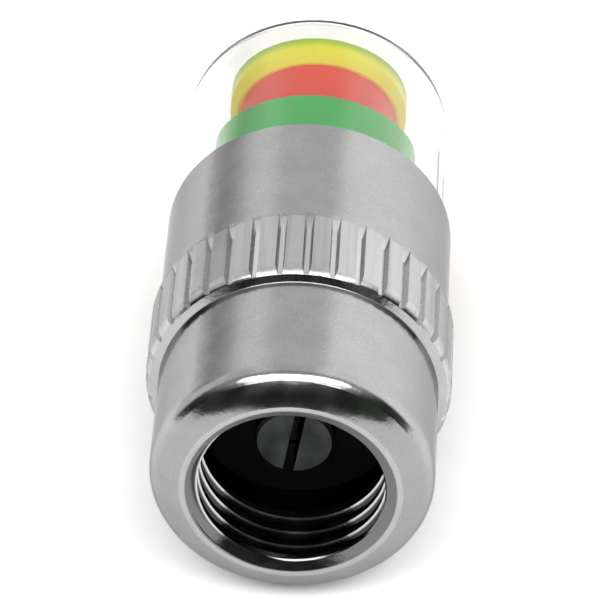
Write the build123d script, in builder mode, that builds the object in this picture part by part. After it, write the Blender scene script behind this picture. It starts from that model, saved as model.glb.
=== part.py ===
"""Visual tyre pressure valve cap: a metal cap with a clear dome over a coloured pressure gauge.

The valve stem screws into the mouth. A fixed pin opens its core, the tyre's air lifts a small
piston against a calibrated spring, and a green sleeve on that piston rises over a red and a
yellow band. All three colours show with no pressure, and only green shows at full pressure.

Frame: origin at the middle of the mouth, +Y along the cap's axis to the dome, +Z up with the cap
lying on its side. Profiles are drawn on the XY plane, with X as the radius and Y as the distance
from the mouth. Millimetres.
"""

import math
import os

from build123d import *

os.makedirs("parts", exist_ok=True)

# Valve thread: 8V1, 32 to the inch
THREAD_PITCH = 0.794
THREAD_CREST_RADIUS = 3.52
THREAD_ROOT_RADIUS = 3.90
THREAD_ROOT_FLAT = 0.08
THREAD_FLANK_ANGLE = 30
THREAD_START = -0.45
THREAD_TURNS = 4.3
THREAD_OVERCUT = 0.05
THREAD_END = 2.95
RELIEF_RADIUS = 3.95

# Outside of the metal body
MOUTH_RADIUS = 4.05
MOUTH_EDGE_OUTSIDE = (4.15, 0.013)
MOUTH_EDGE_INSIDE = (3.93, 0.023)
COUNTERSINK_END = (3.57, 0.185)
THREAD_LEAD = 0.24
SKIRT_RADIUS = 5.35
SKIRT_START = 1.12
LIP_SHOULDER = (5.03, 0.48)
SKIRT_END = 5.84
STEP_FILLET_END = (5.38, 5.87)
TOOTH_END = (5.63, 5.99)
TOOTH_ROUND_END = (5.69, 6.04)
KNURL_RADIUS = 5.85
KNURL_ROOT_RADIUS = 5.64
KNURL_START = 6.48
GROOVE_RAMP_START = 8.80
KNURL_END = 9.46
BARREL_RADIUS = 5.60
BARREL_START = 9.60
BODY_LENGTH = 15.51
RIM_ROUND = 0.12
TEETH = 36
GROOVE_ROOT_WIDTH = 0.18
GROOVE_TIP_WIDTH = 0.62
GROOVE_PHASE = 3.0

# Inside of the metal body
GASKET_SEAT = 5.85
PLATE_SEAT = 6.35
PLATE_SEAT_BORE_RADIUS = 3.30
CHAMBER_RADIUS = 4.30
DOME_LEDGE = 10.60
SOCKET_RADIUS = 5.27

# Plate across the body, with the core pin, its gasket and its washer
PLATE_TOP = 7.15
PIN_RADIUS = 1.53
PIN_TIP = 2.90
PIN_TIP_CHAMFER = 0.12
PIN_NECK_RADIUS = 1.15
PIN_SLOT_WIDTH = 0.42
PIN_SLOT_DEPTH = 1.90
PIN_SLOT_ANGLE = 10
PIN_VENT_RADIUS = 0.19
PIN_HEAD_RADIUS = 1.45
PIN_HEAD_HEIGHT = 0.20
GASKET_FACE = 4.70
GASKET_BORE_RADIUS = 1.62
WASHER_RADIUS = 2.05
WASHER_THICKNESS = 0.20

# Pressure cylinder
SEAL_THICKNESS = 0.30
SEAL_BORE_RADIUS = 2.60
CYLINDER_RADIUS = 2.75
CYLINDER_BORE_RADIUS = 2.00
CYLINDER_INLET_RADIUS = 2.30
CYLINDER_INLET_DEPTH = 0.20
CYLINDER_TOP = 13.20
FLANGE_RADIUS = 4.28
FLANGE_THICKNESS = 0.80
LOCK_RING_BORE_RADIUS = 2.85
LOCK_RING_THICKNESS = 1.00
LOCK_RING_HOLE_CIRCLE = 3.55
LOCK_RING_HOLE_RADIUS = 0.35

# Clear dome
DOME_RADIUS = 5.26
DOME_BORE_RADIUS = 4.25
DOME_TOP = 23.67
DOME_CEILING = 23.38
DOME_SHOULDER_ROUND = 1.00
DOME_CROWN_RISE = 0.12
DOME_BORE_ROUND = 0.25
DOME_SEAL_SECTION = 0.42

# Fixed colour bands, hung under the dome's ceiling
YELLOW_RADIUS = 3.60
YELLOW_START = 21.90
YELLOW_DISC = 0.81
YELLOW_CHAMFER = 0.14
YELLOW_FOOT_CHAMFER = 0.30
YELLOW_BOSS_RADIUS = 0.60
YELLOW_BOSS_HEIGHT = 0.08
GUIDE_RADIUS = 1.50
GUIDE_END = 19.30
GUIDE_SPIGOT_RADIUS = 0.80
GUIDE_SPIGOT_HEIGHT = 0.40
RED_RADIUS = 3.20
RED_BORE_RADIUS = 2.72
RED_START = 18.45
SHIM_BORE_RADIUS = 1.60
SHIM_RADIUS = 2.65
SHIM_THICKNESS = 0.25

# Moving indicator, drawn at rest with no pressure
PISTON_RADIUS = 1.96
PISTON_BASE = 7.75
PISTON_HEAD = 9.25
RING_GROOVE_START = 8.15
RING_GROOVE_END = 8.85
RING_GROOVE_RADIUS = 1.44
RING_SECTION = 0.27
RING_OUTER_RADIUS = 1.98
ROD_RADIUS = 1.10
ROD_END = 14.75
CLIP_GROOVE_RADIUS = 0.85
CLIP_THICKNESS = 0.25
CLIP_RADIUS = 1.75
CLIP_GAP_WIDTH = 0.90
CARRIER_BASE = 13.25
CARRIER_TOP = 13.95
CARRIER_RIM_HEIGHT = 0.25
CARRIER_VENT_RADIUS = 0.40
CARRIER_VENT_CIRCLE = 3.05
GREEN_RADIUS = 4.05
GREEN_BORE_RADIUS = 3.66
GREEN_TOP = 18.70

# Calibrated spring, drawn at rest
SPRING_WIRE_RADIUS = 0.17
SPRING_MEAN_RADIUS = 2.30
SPRING_TURNS = 7


def ring_points(inner_radius, outer_radius, low, high):
    """Corners of a ring's section, from its inner low corner."""
    return [(inner_radius, low), (outer_radius, low), (outer_radius, high), (inner_radius, high)]


def outline(points):
    """A section with straight sides, to be revolved about the cap's axis."""
    with BuildSketch(Plane.XY) as section:
        with BuildLine():
            Polyline(*points, close=True)
        make_face()
    return section.sketch


def round_section(section_radius, ring_radius, height):
    """An O-ring's round section, to be revolved about the cap's axis."""
    with BuildSketch(Plane.XY) as section:
        with Locations((ring_radius, height)):
            Circle(section_radius)
    return section.sketch


def face_plane(height):
    """A plane across the cap's axis that extrudes away from the mouth. Its x is +X, its y is -Z."""
    return Plane(origin=(0, height, 0), x_dir=(1, 0, 0), z_dir=(0, 1, 0))


def thread_half_width(depth_below_crest):
    """Half the thread groove's width at a depth outwards of the crest."""
    below_root = THREAD_ROOT_RADIUS - THREAD_CREST_RADIUS - depth_below_crest
    return THREAD_ROOT_FLAT / 2 + below_root * math.tan(math.radians(THREAD_FLANK_ANGLE))


# Metal body: lip, skirt, knurled grip and barrel, stepped inside from the thread to the socket
with BuildPart() as body:
    with BuildSketch(Plane.XY):
        with BuildLine():
            ThreePointArc(MOUTH_EDGE_INSIDE, (MOUTH_RADIUS, 0), MOUTH_EDGE_OUTSIDE)
            lip = TangentArc((SKIRT_RADIUS, SKIRT_START), LIP_SHOULDER, tangent=(0, -1))
            TangentArc(LIP_SHOULDER, MOUTH_EDGE_OUTSIDE, tangent=lip % 1)
            Line((SKIRT_RADIUS, SKIRT_START), (SKIRT_RADIUS, SKIRT_END))
            TangentArc((SKIRT_RADIUS, SKIRT_END), STEP_FILLET_END, tangent=(0, 1))
            Polyline(STEP_FILLET_END, TOOTH_END, TOOTH_ROUND_END)
            TangentArc((KNURL_RADIUS, KNURL_START), TOOTH_ROUND_END, tangent=(0, -1))
            Polyline(
                (KNURL_RADIUS, KNURL_START),
                (KNURL_RADIUS, KNURL_END),
                (BARREL_RADIUS, BARREL_START),
                (BARREL_RADIUS, BODY_LENGTH - RIM_ROUND),
                (BARREL_RADIUS - RIM_ROUND, BODY_LENGTH),
                (SOCKET_RADIUS, BODY_LENGTH),
                (SOCKET_RADIUS, DOME_LEDGE),
                (CHAMBER_RADIUS, DOME_LEDGE),
                (CHAMBER_RADIUS, PLATE_SEAT),
                (PLATE_SEAT_BORE_RADIUS, PLATE_SEAT),
                (PLATE_SEAT_BORE_RADIUS, GASKET_SEAT),
                (RELIEF_RADIUS, GASKET_SEAT),
                (RELIEF_RADIUS, THREAD_END),
                (THREAD_CREST_RADIUS, THREAD_END),
                (THREAD_CREST_RADIUS, THREAD_LEAD),
                COUNTERSINK_END,
                MOUTH_EDGE_INSIDE,
            )
        make_face()
    revolve(axis=Axis.Y)

    # valve thread, one groove wound from outside the mouth into the relief
    with BuildLine() as thread_path:
        Helix(
            THREAD_PITCH,
            THREAD_TURNS * THREAD_PITCH,
            THREAD_CREST_RADIUS,
            center=(0, THREAD_START, 0),
            direction=(0, 1, 0),
        )
    thread_depth = THREAD_ROOT_RADIUS - THREAD_CREST_RADIUS
    thread_plane = Plane(
        origin=thread_path.line @ 0, x_dir=(0, 0, 1), z_dir=thread_path.line % 0
    )
    with BuildSketch(thread_plane):
        with BuildLine():
            Polyline(
                (-THREAD_OVERCUT, -thread_half_width(-THREAD_OVERCUT)),
                (thread_depth, -thread_half_width(thread_depth)),
                (thread_depth, thread_half_width(thread_depth)),
                (-THREAD_OVERCUT, thread_half_width(-THREAD_OVERCUT)),
                close=True,
            )
        make_face()
    sweep(path=thread_path.line, is_frenet=True, clean=False, mode=Mode.SUBTRACT)

    # straight knurl, flat-bottomed grooves open towards the skirt
    groove_height = KNURL_RADIUS + 0.3 - KNURL_ROOT_RADIUS
    groove_middle = KNURL_ROOT_RADIUS + groove_height / 2
    flare = math.atan((GROOVE_TIP_WIDTH - GROOVE_ROOT_WIDTH) / 2 / groove_height)
    with BuildSketch(face_plane(SKIRT_END)):
        first_groove = 90 + GROOVE_PHASE
        with PolarLocations(groove_middle, TEETH, start_angle=first_groove):
            Trapezoid(
                GROOVE_TIP_WIDTH,
                groove_height,
                90 - math.degrees(flare),
                rotation=90,
            )
    extrude(amount=KNURL_END + 0.02 - SKIRT_END, mode=Mode.SUBTRACT)
    # the grooves run out up a slope at the barrel's end
    revolve(
        outline(
            [
                (BARREL_RADIUS - 0.1, GROOVE_RAMP_START),
                (KNURL_ROOT_RADIUS, GROOVE_RAMP_START),
                (KNURL_RADIUS, KNURL_END),
                (BARREL_RADIUS, BARREL_START),
                (BARREL_RADIUS - 0.1, BARREL_START),
            ]
        ),
        axis=Axis.Y,
    )

# Rubber washer that the end of the valve stem seals against
with BuildPart() as stem_gasket:
    section = outline(
        ring_points(GASKET_BORE_RADIUS, RELIEF_RADIUS, GASKET_FACE, GASKET_SEAT)
    )
    revolve(section, axis=Axis.Y)

# Plate that holds the pin, seated on the body's inner step
with BuildPart() as pin_plate:
    section = outline(
        [
            (PIN_NECK_RADIUS, GASKET_SEAT),
            (PLATE_SEAT_BORE_RADIUS, GASKET_SEAT),
            (PLATE_SEAT_BORE_RADIUS, PLATE_SEAT),
            (CHAMBER_RADIUS, PLATE_SEAT),
            (CHAMBER_RADIUS, PLATE_TOP),
            (PIN_NECK_RADIUS, PLATE_TOP),
        ]
    )
    revolve(section, axis=Axis.Y)

# Fixed pin that opens the valve core: slotted tip, air passage, riveted head
pin_head_start = PLATE_TOP + WASHER_THICKNESS
with BuildPart() as core_pin:
    section = outline(
        [
            (PIN_VENT_RADIUS, PIN_TIP),
            (PIN_RADIUS - PIN_TIP_CHAMFER, PIN_TIP),
            (PIN_RADIUS, PIN_TIP + PIN_TIP_CHAMFER),
            (PIN_RADIUS, GASKET_SEAT),
            (PIN_NECK_RADIUS, GASKET_SEAT),
            (PIN_NECK_RADIUS, pin_head_start),
            (PIN_HEAD_RADIUS, pin_head_start),
            (PIN_HEAD_RADIUS - 0.1, pin_head_start + PIN_HEAD_HEIGHT),
            (PIN_VENT_RADIUS, pin_head_start + PIN_HEAD_HEIGHT),
        ]
    )
    revolve(section, axis=Axis.Y)
    with BuildSketch(face_plane(PIN_TIP)):
        Rectangle(PIN_SLOT_WIDTH, 3 * PIN_RADIUS, rotation=PIN_SLOT_ANGLE)
    extrude(amount=PIN_SLOT_DEPTH, mode=Mode.SUBTRACT)

with BuildPart() as pin_washer:
    revolve(outline(ring_points(PIN_NECK_RADIUS, WASHER_RADIUS, PLATE_TOP, pin_head_start)), axis=Axis.Y)

# Flat seal, pressure cylinder with its flange, and the ring that holds the flange down
flange_start = PLATE_TOP + SEAL_THICKNESS
flange_end = flange_start + FLANGE_THICKNESS
with BuildPart() as cylinder_seal:
    revolve(outline(ring_points(SEAL_BORE_RADIUS, CHAMBER_RADIUS, PLATE_TOP, flange_start)), axis=Axis.Y)

with BuildPart() as pressure_cylinder:
    inlet_end = flange_start + CYLINDER_INLET_DEPTH
    section = outline(
        [
            (CYLINDER_INLET_RADIUS, flange_start),
            (FLANGE_RADIUS, flange_start),
            (FLANGE_RADIUS, flange_end),
            (CYLINDER_RADIUS, flange_end),
            (CYLINDER_RADIUS, CYLINDER_TOP),
            (CYLINDER_BORE_RADIUS, CYLINDER_TOP),
            (CYLINDER_BORE_RADIUS, inlet_end),
            (CYLINDER_INLET_RADIUS, inlet_end),
        ]
    )
    revolve(section, axis=Axis.Y)

with BuildPart() as lock_ring:
    lock_ring_end = flange_end + LOCK_RING_THICKNESS
    section = outline(
        ring_points(LOCK_RING_BORE_RADIUS, CHAMBER_RADIUS, flange_end, lock_ring_end)
    )
    revolve(section, axis=Axis.Y)
    # two blind holes for a pin spanner
    with BuildSketch(face_plane(lock_ring_end)):
        with PolarLocations(LOCK_RING_HOLE_CIRCLE, 2):
            Circle(LOCK_RING_HOLE_RADIUS)
    extrude(amount=-LOCK_RING_THICKNESS / 2, mode=Mode.SUBTRACT)

# O-ring between the ledge and the dome's foot
seal_middle = (CHAMBER_RADIUS + SOCKET_RADIUS) / 2
dome_foot = DOME_LEDGE + 2 * DOME_SEAL_SECTION
with BuildPart() as dome_seal:
    revolve(round_section(DOME_SEAL_SECTION, seal_middle, DOME_LEDGE + DOME_SEAL_SECTION), axis=Axis.Y)

# Clear dome: thick wall, rounded shoulder and slightly crowned top
with BuildPart() as dome:
    with BuildSketch(Plane.XY):
        with BuildLine():
            crown_radius = DOME_RADIUS - DOME_SHOULDER_ROUND
            crown_start = DOME_TOP - DOME_CROWN_RISE
            shoulder_low = (DOME_RADIUS, crown_start - DOME_SHOULDER_ROUND)
            shoulder_high = (crown_radius, crown_start)
            Line((DOME_BORE_RADIUS, dome_foot), (DOME_RADIUS, dome_foot))
            Line((DOME_RADIUS, dome_foot), shoulder_low)
            TangentArc(shoulder_low, shoulder_high, tangent=(0, 1))
            TangentArc((0, DOME_TOP), shoulder_high, tangent=(1, 0))
            Line((0, DOME_TOP), (0, DOME_CEILING))
            ceiling_end = (DOME_BORE_RADIUS - DOME_BORE_ROUND, DOME_CEILING)
            bore_end = (DOME_BORE_RADIUS, DOME_CEILING - DOME_BORE_ROUND)
            Line((0, DOME_CEILING), ceiling_end)
            TangentArc(ceiling_end, bore_end, tangent=(1, 0))
            Line(bore_end, (DOME_BORE_RADIUS, dome_foot))
        make_face()
    revolve(axis=Axis.Y)

# Yellow band: a cap fixed to the ceiling by a small boss, with a socket for the spring's guide
yellow_disc_start = DOME_CEILING - YELLOW_DISC
yellow_top = DOME_CEILING - YELLOW_BOSS_HEIGHT
guide_socket_end = yellow_disc_start + GUIDE_SPIGOT_HEIGHT
with BuildPart() as yellow_band:
    section = outline(
        [
            (0, guide_socket_end),
            (GUIDE_SPIGOT_RADIUS, guide_socket_end),
            (GUIDE_SPIGOT_RADIUS, yellow_disc_start),
            (RED_RADIUS, yellow_disc_start),
            (RED_RADIUS, YELLOW_START),
            (YELLOW_RADIUS - YELLOW_FOOT_CHAMFER, YELLOW_START),
            (YELLOW_RADIUS, YELLOW_START + YELLOW_FOOT_CHAMFER),
            (YELLOW_RADIUS, yellow_top - YELLOW_CHAMFER),
            (YELLOW_RADIUS - YELLOW_CHAMFER, yellow_top),
            (YELLOW_BOSS_RADIUS, yellow_top),
            (YELLOW_BOSS_RADIUS, DOME_CEILING),
            (0, DOME_CEILING),
        ]
    )
    revolve(section, axis=Axis.Y)

# Guide for the spring, pressed into the yellow band
with BuildPart() as spring_guide:
    section = outline(
        [
            (0, GUIDE_END),
            (GUIDE_RADIUS - 0.2, GUIDE_END),
            (GUIDE_RADIUS, GUIDE_END + 0.2),
            (GUIDE_RADIUS, yellow_disc_start),
            (GUIDE_SPIGOT_RADIUS, yellow_disc_start),
            (GUIDE_SPIGOT_RADIUS, guide_socket_end),
            (0, guide_socket_end),
        ]
    )
    revolve(section, axis=Axis.Y)

# Red band: a sleeve pushed into the yellow one
with BuildPart() as red_band:
    revolve(outline(ring_points(RED_BORE_RADIUS, RED_RADIUS, RED_START, yellow_disc_start)), axis=Axis.Y)

# Shim above the spring, which sets its preload
spring_top = yellow_disc_start - SHIM_THICKNESS
with BuildPart() as spring_shim:
    revolve(outline(ring_points(SHIM_BORE_RADIUS, SHIM_RADIUS, spring_top, yellow_disc_start)), axis=Axis.Y)

# Piston and rod
clip_start = CARRIER_TOP
clip_end = clip_start + CLIP_THICKNESS
with BuildPart() as piston:
    section = outline(
        [
            (0, PISTON_BASE),
            (PISTON_RADIUS - 0.15, PISTON_BASE),
            (PISTON_RADIUS, PISTON_BASE + 0.15),
            (PISTON_RADIUS, RING_GROOVE_START),
            (RING_GROOVE_RADIUS, RING_GROOVE_START),
            (RING_GROOVE_RADIUS, RING_GROOVE_END),
            (PISTON_RADIUS, RING_GROOVE_END),
            (PISTON_RADIUS, PISTON_HEAD),
            (ROD_RADIUS, PISTON_HEAD),
            (ROD_RADIUS, clip_start),
            (CLIP_GROOVE_RADIUS, clip_start),
            (CLIP_GROOVE_RADIUS, clip_end),
            (ROD_RADIUS, clip_end),
            (ROD_RADIUS, ROD_END - 0.2),
            (ROD_RADIUS - 0.2, ROD_END),
            (0, ROD_END),
        ]
    )
    revolve(section, axis=Axis.Y)

with BuildPart() as piston_ring:
    ring_middle = RING_OUTER_RADIUS - RING_SECTION
    groove_centre = (RING_GROOVE_START + RING_GROOVE_END) / 2
    revolve(round_section(RING_SECTION, ring_middle, groove_centre), axis=Axis.Y)

# Disc that carries the green sleeve and the foot of the spring, with holes to let the air past
with BuildPart() as sleeve_carrier:
    rim_top = CARRIER_BASE + CARRIER_RIM_HEIGHT
    section = outline(
        [
            (ROD_RADIUS, CARRIER_BASE),
            (GREEN_RADIUS, CARRIER_BASE),
            (GREEN_RADIUS, rim_top),
            (GREEN_BORE_RADIUS, rim_top),
            (GREEN_BORE_RADIUS, CARRIER_TOP),
            (ROD_RADIUS, CARRIER_TOP),
        ]
    )
    revolve(section, axis=Axis.Y)
    with BuildSketch(face_plane(CARRIER_BASE)):
        with PolarLocations(CARRIER_VENT_CIRCLE, 4):
            Circle(CARRIER_VENT_RADIUS)
    extrude(amount=CARRIER_TOP - CARRIER_BASE, mode=Mode.SUBTRACT)

# Open clip in the rod's groove
with BuildPart() as rod_clip:
    revolve(outline(ring_points(CLIP_GROOVE_RADIUS, CLIP_RADIUS, clip_start, clip_end)), axis=Axis.Y)
    with BuildSketch(face_plane(clip_start)):
        Rectangle(CLIP_RADIUS + 0.2, CLIP_GAP_WIDTH, align=(Align.MIN, Align.CENTER))
    extrude(amount=CLIP_THICKNESS, mode=Mode.SUBTRACT)

# Green sleeve that rises over the other bands
with BuildPart() as green_sleeve:
    revolve(outline(ring_points(GREEN_BORE_RADIUS, GREEN_RADIUS, rim_top, GREEN_TOP)), axis=Axis.Y)

# Spring between the carrier and the shim
with BuildPart() as spring:
    coil_start = CARRIER_TOP + SPRING_WIRE_RADIUS
    coil_height = spring_top - SPRING_WIRE_RADIUS - coil_start
    with BuildLine() as coil:
        Helix(
            coil_height / SPRING_TURNS,
            coil_height,
            SPRING_MEAN_RADIUS,
            center=(0, coil_start, 0),
            direction=(0, 1, 0),
        )
    with BuildSketch(Plane(origin=coil.line @ 0, z_dir=coil.line % 0)):
        Circle(SPRING_WIRE_RADIUS)
    sweep(path=coil.line, is_frenet=True)

pieces = {
    "body": body,
    "stem_gasket": stem_gasket,
    "pin_plate": pin_plate,
    "core_pin": core_pin,
    "pin_washer": pin_washer,
    "cylinder_seal": cylinder_seal,
    "pressure_cylinder": pressure_cylinder,
    "lock_ring": lock_ring,
    "dome_seal": dome_seal,
    "dome": dome,
    "yellow_band": yellow_band,
    "red_band": red_band,
    "spring_guide": spring_guide,
    "spring_shim": spring_shim,
    "piston": piston,
    "piston_ring": piston_ring,
    "sleeve_carrier": sleeve_carrier,
    "rod_clip": rod_clip,
    "green_sleeve": green_sleeve,
    "spring": spring,
}
for name, piece in pieces.items():
    piece.part.label = name
    export_step(piece.part, f"parts/{name}.step")
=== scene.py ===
"""Looks for the visual tyre pressure valve cap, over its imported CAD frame. Metres."""

import math

import bpy
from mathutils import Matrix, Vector


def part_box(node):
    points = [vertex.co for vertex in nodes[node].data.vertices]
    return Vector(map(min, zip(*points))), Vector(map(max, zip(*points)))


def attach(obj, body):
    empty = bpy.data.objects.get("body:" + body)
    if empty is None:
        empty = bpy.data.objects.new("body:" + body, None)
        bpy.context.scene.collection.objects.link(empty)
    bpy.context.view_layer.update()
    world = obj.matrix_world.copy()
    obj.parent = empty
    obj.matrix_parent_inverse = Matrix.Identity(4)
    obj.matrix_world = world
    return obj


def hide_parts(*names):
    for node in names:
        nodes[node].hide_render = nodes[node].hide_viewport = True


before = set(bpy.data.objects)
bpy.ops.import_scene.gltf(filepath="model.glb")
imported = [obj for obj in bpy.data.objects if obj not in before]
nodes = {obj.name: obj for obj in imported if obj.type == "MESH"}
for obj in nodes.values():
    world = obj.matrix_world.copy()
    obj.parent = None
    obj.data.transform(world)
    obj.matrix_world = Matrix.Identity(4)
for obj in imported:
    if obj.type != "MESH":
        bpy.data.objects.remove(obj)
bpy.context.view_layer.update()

MM = 0.001

# The floor, which the knurl rests on
AXIS_HEIGHT = 5.85 * MM
FLOOR_HALF_SIZE = 1.0

# Camera
VIEW_AZIMUTH = math.radians(2.65)
VIEW_ELEVATION = math.radians(38.93)
VIEW_DISTANCE = 188.6 * MM
VIEW_TARGET = Vector((-0.183, 11.395, 0.014)) * MM
LENS_MM = 290.3
SENSOR_MM = 36.0

# The knurl, and its grooves' radii
KNURL_LOW = 6.05 * MM
KNURL_HIGH = 9.30 * MM
GROOVE_FLOOR = 5.64 * MM
GROOVE_TOP = 5.83 * MM

# The lip's face, where its rounding ends, and the edge round the mouth
FACE_END = 0.35 * MM
LIP_ROUND_END = 0.75 * MM
MOUTH_EDGE = 4.14 * MM

# The bore, its thread's start and its crests' radius
BORE_RADIUS = 3.93 * MM
THREAD_LOW = 0.24 * MM
THREAD_CREST = 3.52 * MM

# Past here, along the axis, the pin is black
PIN_BLACK_FROM = 3.0 * MM

# The yellow band: its foot, its upper rim, and the gap between its boss and the dome
YELLOW_FOOT = 21.93 * MM
RIM_LOW = 22.50 * MM
RIM_HIGH = 23.12 * MM
RIM_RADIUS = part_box("yellow_band")[1][0] - 0.12 * MM
BOSS_GAP = 0.02 * MM

# Colours of the plated body, and of the light and shade painted on it
PLATE_SHADE = (0.395, 0.395, 0.40)
PLATE_LIGHT = (0.435, 0.43, 0.425)
GRAIN_GREY = (0.31, 0.31, 0.32)
SPECKLE_GREY = (0.72, 0.72, 0.71)
WORN_KNURL = (0.56, 0.56, 0.56)
KNURL_STREAK = (0.36, 0.36, 0.365)
KNURL_GROOVE_PAINTED_LIGHT = (0.82, 0.82, 0.82)
LIP_PAINTED_SHADE = (0.20, 0.20, 0.20)
BORE_PAINTED_SHADE = (0.12, 0.12, 0.12)
THREAD_PAINTED_SHADE = (0.05, 0.052, 0.05)
CREST_PAINTED_HIGHLIGHT = (0.56, 0.56, 0.55)
GRAZING_TINT = (0.52, 0.52, 0.52, 1)

# Colours of the other pieces
DEEP_BLACK = (0.008, 0.008, 0.008)
RUBBER_BLACK = (0.003, 0.0035, 0.003)
RUBBER_BLOOM = (0.007, 0.0075, 0.007)
YELLOW_FOOT_COLOUR = (1.0, 0.90, 0.02)
# painted shade on the yellow band's top rim
YELLOW_RIM_PAINTED_SHADE = (0.40, 0.70, 0.0)
DOME_TINT = (0.865, 0.855, 0.838)
DOME_CLEAR = (0.885, 0.876, 0.860)
PAPER_SHADE = (0.93, 0.93, 0.93)
PAPER_LIGHT = (0.96, 0.96, 0.96)

# Brightness of the room behind the cap, at the horizon and overhead, and of what is added to it
ROOM_LOW = 0.94
ROOM_HIGH = 0.75
LEFT_LIGHT = 0.24
RIGHT_LIGHT = 0.46
LEFT_CORNER = -0.46

# Brightness of the hall in front of it, low down and high up, and its foliage's tint
HALL_LOW = 0.03
HALL_HIGH = 0.45
NO_TINT = (1.0, 1.0, 1.0)
FOLIAGE_TINT = (0.75, 1.35, 0.65)

# The key light, an oval in the direction's side and height, and the gap across it
KEY_BRIGHTNESS = 5.8
KEY_HALF_WIDTH = 0.58
KEY_HALF_HEIGHT = 0.215
KEY_MIDDLE = 0.712
GAP_DARKNESS = 0.93


# Node helpers


def new_material(name):
    """A material, its node tree and its shader."""
    material = bpy.data.materials.new(name)
    material.use_nodes = True
    tree = material.node_tree
    return material, tree, tree.nodes["Principled BSDF"]


def math_node(tree, operation, first, second=0.0):
    """A sum, product or other operation on sockets or numbers."""
    node = tree.nodes.new("ShaderNodeMath")
    node.operation = operation
    for socket, value in zip(node.inputs, (first, second)):
        if isinstance(value, (int, float)):
            socket.default_value = value
        else:
            tree.links.new(value, socket)
    return node.outputs["Value"]


def product(tree, first, *others):
    """All of them multiplied."""
    for other in others:
        first = math_node(tree, "MULTIPLY", first, other)
    return first


def total(tree, first, *others):
    """All of them added."""
    for other in others:
        first = math_node(tree, "ADD", first, other)
    return first


def step(tree, value, start, end, low=0.0, high=1.0):
    """Goes smoothly from low to high as value goes from start to end."""
    node = tree.nodes.new("ShaderNodeMapRange")
    node.interpolation_type = "SMOOTHSTEP"
    tree.links.new(value, node.inputs["Value"])
    node.inputs["From Min"].default_value = start
    node.inputs["From Max"].default_value = end
    node.inputs["To Min"].default_value = low
    node.inputs["To Max"].default_value = high
    return node.outputs["Result"]


def window(tree, value, low, high, soft):
    """1 between low and high, 0 outside, with soft edges."""
    rise = step(tree, value, low - soft, low + soft)
    fall = step(tree, value, high - soft, high + soft, low=1.0, high=0.0)
    return product(tree, rise, fall)


def mix_colour(tree, factor, first, second):
    """Mixes two colours, each a socket or a tuple, by a socket from 0 to 1."""
    node = tree.nodes.new("ShaderNodeMix")
    node.data_type = "RGBA"
    tree.links.new(factor, node.inputs["Factor"])
    for socket, colour in ((node.inputs[6], first), (node.inputs[7], second)):
        if isinstance(colour, tuple):
            socket.default_value = (*colour, 1)
        else:
            tree.links.new(colour, socket)
    return node.outputs[2]


def noise(tree, coords, scale, detail=3.0, stretch=(1, 1, 1)):
    """Noise from 0 to 1 over object coordinates, stretched by axis."""
    mapping = tree.nodes.new("ShaderNodeMapping")
    mapping.inputs["Scale"].default_value = stretch
    tree.links.new(coords, mapping.inputs["Vector"])
    node = tree.nodes.new("ShaderNodeTexNoise")
    node.inputs["Scale"].default_value = scale
    node.inputs["Detail"].default_value = detail
    tree.links.new(mapping.outputs["Vector"], node.inputs["Vector"])
    return node.outputs["Fac"]


def ring_noise(tree, radius, scale, detail):
    """Noise from 0 to 1 that changes only with the distance from the axis."""
    node = tree.nodes.new("ShaderNodeTexNoise")
    node.noise_dimensions = "1D"
    node.inputs["Scale"].default_value = scale
    node.inputs["Detail"].default_value = detail
    tree.links.new(radius, node.inputs["W"])
    return node.outputs["Fac"]


def bump(tree, heights, shader):
    """Adds each (height socket, strength, distance) to the shader's normal."""
    previous = None
    for height, strength, distance in heights:
        node = tree.nodes.new("ShaderNodeBump")
        node.inputs["Strength"].default_value = strength
        node.inputs["Distance"].default_value = distance
        tree.links.new(height, node.inputs["Height"])
        if previous is not None:
            tree.links.new(previous, node.inputs["Normal"])
        previous = node.outputs["Normal"]
    tree.links.new(previous, shader.inputs["Normal"])


def object_coords(tree):
    """Places on the object, in metres."""
    return tree.nodes.new("ShaderNodeTexCoord").outputs["Object"]


def split_axes(tree, vector):
    """A vector's x, y and z."""
    node = tree.nodes.new("ShaderNodeSeparateXYZ")
    tree.links.new(vector, node.inputs["Vector"])
    return node.outputs["X"], node.outputs["Y"], node.outputs["Z"]


def axis_and_radius(tree, coords):
    """Distance along the cap's axis, and from it."""
    side, along, height = split_axes(tree, coords)
    squares = total(tree, product(tree, side, side), product(tree, height, height))
    return along, math_node(tree, "SQRT", squares)


def dress(material, *names):
    """Gives the named CAD nodes this material."""
    for name in names:
        slots = nodes[name].data.materials
        slots.clear()
        slots.append(material)


# Materials


def plated_colour(tree, coords, mottle, grain):
    """Mottled grey with a darker grain and a few bright specks."""
    speckle = noise(tree, coords, scale=15000, detail=1.0)
    colour = mix_colour(tree, step(tree, mottle, 0.3, 0.7), PLATE_SHADE, PLATE_LIGHT)
    colour = mix_colour(tree, step(tree, grain, 0.55, 0.75, high=0.35), colour, GRAIN_GREY)
    return mix_colour(tree, step(tree, speckle, 0.66, 0.74, high=0.45), colour, SPECKLE_GREY)


def knurl_colour(tree, colour, coords, radius, in_knurl):
    """Worn pale on the knurl, with streaks along its teeth, and painted light in its grooves."""
    colour = mix_colour(tree, product(tree, in_knurl, 0.75), colour, WORN_KNURL)
    streak = noise(tree, coords, scale=2600, detail=2.0, stretch=(1, 0.03, 1))
    streaked = product(tree, in_knurl, step(tree, streak, 0.42, 0.62, high=0.45))
    colour = mix_colour(tree, streaked, colour, KNURL_STREAK)
    # painted light: the grooves are painted paler towards their floors, lifting the shade in them
    depth = step(tree, radius, GROOVE_FLOOR, GROOVE_TOP, low=1.0, high=0.0)
    return mix_colour(tree, product(tree, in_knurl, depth, 0.35), colour, KNURL_GROOVE_PAINTED_LIGHT)


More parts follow.
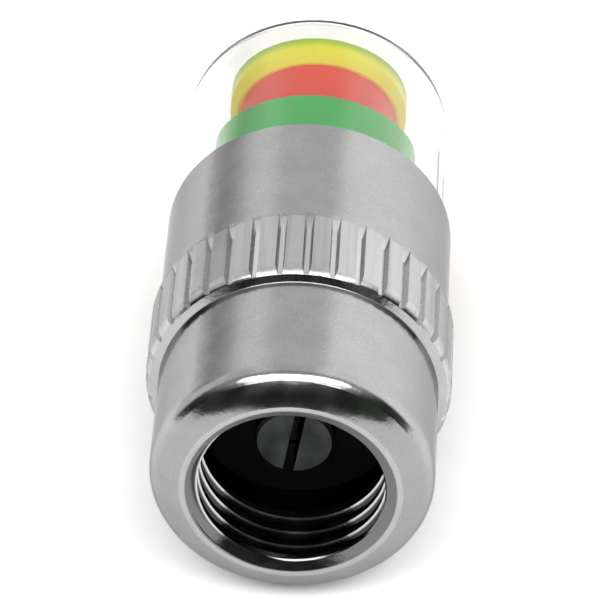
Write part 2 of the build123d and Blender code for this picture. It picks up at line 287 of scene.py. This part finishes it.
def mouth_colour(tree, colour, along, radius):
    """Painted shade on the lip's face, left off the edge round the mouth so that it stays bright,
    painted shade in the bore, and painted highlights on the thread's crests over painted shade in
    its grooves.
    """
    # painted shade on the lip's face, heaviest on the face and gone where its rounding ends, but not
    # on the edge round the mouth
    lip_shade_amount = step(tree, along, FACE_END, LIP_ROUND_END, low=0.42, high=0.0)
    outside_edge = step(tree, radius, MOUTH_EDGE, MOUTH_EDGE + 0.08 * MM)
    colour = mix_colour(tree, product(tree, lip_shade_amount, outside_edge), colour, LIP_PAINTED_SHADE)

    # painted shade in the bore, heaviest at its countersink
    in_bore = step(tree, radius, BORE_RADIUS, BORE_RADIUS + 0.06 * MM, low=1.0, high=0.0)
    bore_shade_amount = step(tree, along, 0.2 * MM, 0.5 * MM, low=0.85, high=0.66)
    colour = mix_colour(tree, product(tree, in_bore, bore_shade_amount), colour, BORE_PAINTED_SHADE)

    # painted highlights on the thread's crests, and painted shade in its grooves
    off_crest = THREAD_CREST + 0.03 * MM
    on_crest = step(tree, radius, off_crest, off_crest + 0.07 * MM, low=1.0, high=0.0)
    thread = mix_colour(tree, on_crest, THREAD_PAINTED_SHADE, CREST_PAINTED_HIGHLIGHT)
    past_start = step(tree, along, THREAD_LOW, THREAD_LOW + 0.08 * MM)
    return mix_colour(tree, product(tree, past_start, in_bore), colour, thread)


def satin_chrome():
    """Plated metal with soft mottling and faint turning marks, rougher and worn on the knurl."""
    material, tree, shader = new_material("satin_chrome")
    coords = object_coords(tree)
    along, radius = axis_and_radius(tree, coords)
    mottle = noise(tree, coords, scale=900, detail=4.0)
    grain = noise(tree, coords, scale=7000)
    turning = noise(tree, coords, scale=60, stretch=(1, 160, 1))
    in_knurl = window(tree, along, KNURL_LOW, KNURL_HIGH, soft=0.05 * MM)

    colour = plated_colour(tree, coords, mottle, grain)
    colour = knurl_colour(tree, colour, coords, radius, in_knurl)
    colour = mouth_colour(tree, colour, along, radius)
    tree.links.new(colour, shader.inputs["Base Color"])

    mottled = step(tree, mottle, 0.25, 0.75, low=0.08, high=0.17)
    grainy = product(tree, grain, 0.05)
    worn = product(tree, in_knurl, 0.12)
    tree.links.new(total(tree, mottled, grainy, worn), shader.inputs["Roughness"])
    shader.inputs["Metallic"].default_value = 1.0
    shader.inputs["Specular Tint"].default_value = GRAZING_TINT
    marks = [
        (mottle, 0.25, 0.012 * MM),
        (turning, 0.18, 0.004 * MM),
        (grain, 0.60, 0.005 * MM),
    ]
    bump(tree, marks, shader)
    return material


def turned_metal(name, bright, dark, roughness, black_from=None):
    """Metal off a lathe, with rings of tool marks, turning black from a given distance along the
    axis where one is given.
    """
    material, tree, shader = new_material(name)
    coords = object_coords(tree)
    along, radius = axis_and_radius(tree, coords)
    rings = ring_noise(tree, radius, scale=14000, detail=2.0)
    stain = noise(tree, coords, scale=700, detail=4.0)
    colour = mix_colour(tree, step(tree, stain, 0.3, 0.7), dark, bright)
    if black_from is not None:
        blackened = step(tree, along, black_from, black_from + 0.2 * MM)
        colour = mix_colour(tree, blackened, colour, DEEP_BLACK)
    tree.links.new(colour, shader.inputs["Base Color"])
    stained = step(tree, stain, 0.3, 0.7, low=roughness * 1.3, high=roughness * 0.8)
    tree.links.new(stained, shader.inputs["Roughness"])
    shader.inputs["Metallic"].default_value = 1.0
    bump(tree, [(rings, 0.35, 0.004 * MM)], shader)
    return material


def rubber():
    """Black nitrile with a fine moulded grain and a little bloom."""
    material, tree, shader = new_material("black_rubber")
    coords = object_coords(tree)
    grain = noise(tree, coords, scale=9000)
    bloom = noise(tree, coords, scale=500, detail=4.0)
    colour = mix_colour(tree, step(tree, bloom, 0.4, 0.8), RUBBER_BLACK, RUBBER_BLOOM)
    tree.links.new(colour, shader.inputs["Base Color"])
    tree.links.new(step(tree, grain, 0.3, 0.7, low=0.55, high=0.8), shader.inputs["Roughness"])
    shader.inputs["Specular IOR Level"].default_value = 0.12
    bump(tree, [(grain, 0.3, 0.006 * MM)], shader)
    return material


def yellow_shading(tree, colour, coords):
    """The yellow band's warmer foot, and a darker greenish painted shade round the rim at its top.
    """
    along, radius = axis_and_radius(tree, coords)
    above_foot = step(tree, along, YELLOW_FOOT, YELLOW_FOOT + 0.25 * MM)
    colour = mix_colour(tree, above_foot, YELLOW_FOOT_COLOUR, colour)
    # painted shade: the outer rim at the top goes darker and greener
    near_top = step(tree, along, RIM_LOW, RIM_HIGH)
    outermost = step(tree, radius, RIM_RADIUS - 0.1 * MM, RIM_RADIUS)
    return mix_colour(tree, product(tree, near_top, outermost), colour, YELLOW_RIM_PAINTED_SHADE)


def moulded_plastic(name, light, deep, shading=None):
    """Moulded plastic with a little flow marking, and a piece's own shading where given."""
    material, tree, shader = new_material(name)
    coords = object_coords(tree)
    flow = noise(tree, coords, scale=450, stretch=(1, 0.35, 1))
    grain = noise(tree, coords, scale=6000, detail=2.0)
    colour = mix_colour(tree, step(tree, flow, 0.3, 0.7), deep, light)
    if shading is not None:
        colour = shading(tree, colour, coords)
    tree.links.new(colour, shader.inputs["Base Color"])
    tree.links.new(step(tree, grain, 0.3, 0.7, low=0.32, high=0.42), shader.inputs["Roughness"])
    shader.inputs["Specular IOR Level"].default_value = 0.25
    bump(tree, [(grain, 0.15, 0.003 * MM)], shader)
    return material


def clear_plastic():
    """Polished clear plastic with hairline wear."""
    material, tree, shader = new_material("clear_plastic")
    coords = object_coords(tree)
    wear = noise(tree, coords, scale=1500, detail=5.0, stretch=(1, 0.2, 1))
    haze = noise(tree, coords, scale=300)
    tint = mix_colour(tree, step(tree, haze, 0.3, 0.7), DOME_TINT, DOME_CLEAR)
    tree.links.new(tint, shader.inputs["Base Color"])
    tree.links.new(step(tree, wear, 0.5, 0.8, high=0.05), shader.inputs["Roughness"])
    shader.inputs["Transmission Weight"].default_value = 1.0
    shader.inputs["IOR"].default_value = 1.42
    shader.inputs["Specular IOR Level"].default_value = 0.1
    return material


def paper():
    """White matt sheet, with faint fibre."""
    material, tree, shader = new_material("floor_paper")
    fibre = noise(tree, object_coords(tree), scale=900)
    tree.links.new(mix_colour(tree, fibre, PAPER_SHADE, PAPER_LIGHT), shader.inputs["Base Color"])
    shader.inputs["Roughness"].default_value = 0.9
    shader.inputs["Specular IOR Level"].default_value = 0.1
    return material


def dress_nodes():
    """Gives every CAD node its material."""
    pin_metal = turned_metal(
        "pin_metal",
        bright=(0.050, 0.052, 0.052),
        dark=(0.032, 0.034, 0.034),
        roughness=0.42,
        black_from=PIN_BLACK_FROM,
    )
    brass = turned_metal(
        "brass",
        bright=(0.80, 0.62, 0.32),
        dark=(0.68, 0.50, 0.24),
        roughness=0.28,
    )
    spring_steel = turned_metal(
        "spring_steel",
        bright=(0.62, 0.62, 0.63),
        dark=(0.50, 0.50, 0.52),
        roughness=0.26,
    )
    yellow = moulded_plastic(
        "yellow_plastic",
        light=(1.0, 0.97, 0.0),
        deep=(1.0, 0.92, 0.0),
        shading=yellow_shading,
    )
    red = moulded_plastic("red_plastic", light=(0.95, 0.055, 0.02), deep=(0.90, 0.04, 0.015))
    green = moulded_plastic("green_plastic", light=(0.045, 0.58, 0.10), deep=(0.035, 0.51, 0.08))
    dress(satin_chrome(), "body")
    dress(rubber(), "stem_gasket", "cylinder_seal", "dome_seal", "piston_ring")
    dress(pin_metal, "core_pin", "pin_washer")
    dress(brass, "pin_plate", "pressure_cylinder", "lock_ring", "piston")
    dress(spring_steel, "spring", "spring_guide", "spring_shim", "rod_clip")
    dress(yellow, "yellow_band")
    dress(red, "red_band")
    dress(green, "green_sleeve", "sleeve_carrier")
    dress(clear_plastic(), "dome")


# The one piece that isn't shown as its CAD node


def add_yellow_cap():
    """The yellow band, with a hair's gap over its boss so that light reaches it through the dome."""
    piece = bpy.data.objects.new("yellow_cap", nodes["yellow_band"].data.copy())
    bpy.context.scene.collection.objects.link(piece)
    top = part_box("yellow_band")[1][1]
    for vertex in piece.data.vertices:
        if vertex.co.y > top - BOSS_GAP:
            vertex.co.y -= BOSS_GAP
    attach(piece, "housing")
    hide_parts("yellow_band")


# Floor, camera and light


def add_floor():
    """A large white sheet that the cap lies on, just under its knurl."""
    half = FLOOR_HALF_SIZE
    corners = [(-half, -half, 0), (half, -half, 0), (half, half, 0), (-half, half, 0)]
    mesh = bpy.data.meshes.new("floor")
    mesh.from_pydata(corners, [], [(0, 1, 2, 3)])
    mesh.materials.append(paper())
    floor = bpy.data.objects.new("floor", mesh)
    bpy.context.scene.collection.objects.link(floor)
    floor.location = (0, 0, -AXIS_HEIGHT)


def add_camera():
    """A long lens from in front of the mouth and above it."""
    back = Vector(
        (
            math.sin(VIEW_AZIMUTH) * math.cos(VIEW_ELEVATION),
            -math.cos(VIEW_AZIMUTH) * math.cos(VIEW_ELEVATION),
            math.sin(VIEW_ELEVATION),
        )
    )
    camera = bpy.data.objects.new("camera", bpy.data.cameras.new("camera"))
    bpy.context.scene.collection.objects.link(camera)
    camera.data.lens = LENS_MM
    camera.data.sensor_width = SENSOR_MM
    camera.data.clip_start = 0.001
    camera.data.clip_end = 10
    camera.location = VIEW_TARGET + back * VIEW_DISTANCE
    camera.rotation_mode = "QUATERNION"
    camera.rotation_quaternion = (-back).to_track_quat("-Z", "Y")
    bpy.context.scene.camera = camera


def room_light(tree, side, height):
    """The pale room, with a light on each side and a dark corner low on the left."""
    room = step(tree, height, 0.3, 1.0, ROOM_LOW, ROOM_HIGH)
    left_light = product(tree, window(tree, side, -0.47, -0.27, soft=0.09), LEFT_LIGHT)
    right_light = product(tree, window(tree, side, 0.27, 1.2, soft=0.09), RIGHT_LIGHT)
    corner_across = window(tree, side, -0.80, -0.52, soft=0.10)
    corner_up = window(tree, height, 0.10, 0.42, soft=0.09)
    left_corner = product(tree, corner_across, corner_up, LEFT_CORNER)
    return total(tree, room, left_light, right_light, left_corner)


def key_light(tree, side, height):
    """A large soft oval over the camera, with a gap across it where the camera stands."""
    across = math_node(tree, "DIVIDE", side, KEY_HALF_WIDTH)
    above_middle = math_node(tree, "SUBTRACT", height, KEY_MIDDLE)
    up = math_node(tree, "DIVIDE", above_middle, KEY_HALF_HEIGHT)
    from_middle = total(tree, product(tree, across, across), product(tree, up, up))
    oval = step(tree, from_middle, 0.85, 1.15, low=1.0, high=0.0)
    gap = product(tree, window(tree, height, 0.60, 0.67, soft=0.03), GAP_DARKNESS)
    return product(tree, oval, math_node(tree, "SUBTRACT", 1.0, gap), KEY_BRIGHTNESS)


def foliage(tree, side, height):
    """A little green low on the right."""
    across = window(tree, side, 0.45, 0.80, soft=0.08)
    up = window(tree, height, 0.02, 0.30, soft=0.06)
    return product(tree, across, up)


def add_studio():
    """Light by direction: a pale room behind the cap, and in front a key light over a dark hall."""
    world = bpy.data.worlds.new("studio")
    bpy.context.scene.world = world
    world.use_nodes = True
    tree = world.node_tree
    background = tree.nodes["Background"]
    direction = tree.nodes.new("ShaderNodeTexCoord").outputs["Generated"]
    side, depth, height = split_axes(tree, direction)

    front = step(tree, depth, -0.15, 0.10, low=1.0, high=0.0)
    behind = step(tree, depth, -0.15, 0.10)
    room = product(tree, room_light(tree, side, height), behind)
    hall = product(tree, step(tree, height, 0.38, 0.68, HALL_LOW, HALL_HIGH), front)
    key = product(tree, key_light(tree, side, height), front)
    green = product(tree, foliage(tree, side, height), front)
    tint = mix_colour(tree, green, NO_TINT, FOLIAGE_TINT)
    tree.links.new(tint, background.inputs["Color"])
    tree.links.new(total(tree, room, hall, key), background.inputs["Strength"])
    bpy.context.scene.view_settings.view_transform = "Standard"


dress_nodes()
add_yellow_cap()
add_floor()
add_camera()
add_studio()
